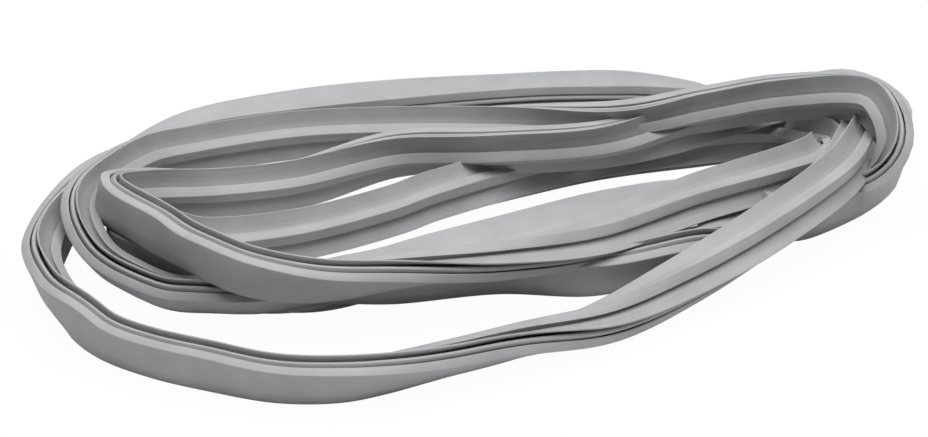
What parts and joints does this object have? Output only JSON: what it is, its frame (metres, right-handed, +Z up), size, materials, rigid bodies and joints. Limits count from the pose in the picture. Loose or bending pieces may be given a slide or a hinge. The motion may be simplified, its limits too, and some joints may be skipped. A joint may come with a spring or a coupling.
{
  "type": "refrigerator door gasket",
  "caption": "Grey magnetic push-in door gasket of soft extruded profile, a welded closed ring lying twisted and coiled into a flat oval bundle.",
  "frame": {"origin": "centre of the bounding box at floor level", "axes": "+X along the bundle's long side, +Z up from the floor that the bundle lies on"},
  "size_m": [0.4832, 0.2878, 0.0784],
  "materials": {
    "profile": "semi-matt flexible vinyl",
    "magnet_strip": "matt ferrite-filled rubber"
  },
  "bodies": {
    "root": {"gasket_profile": "profile", "magnet_strip_hinge_side": "magnet_strip", "magnet_strip_top": "magnet_strip", "magnet_strip_handle_side": "magnet_strip", "magnet_strip_bottom": "magnet_strip"}
  },
  "joints": []
}
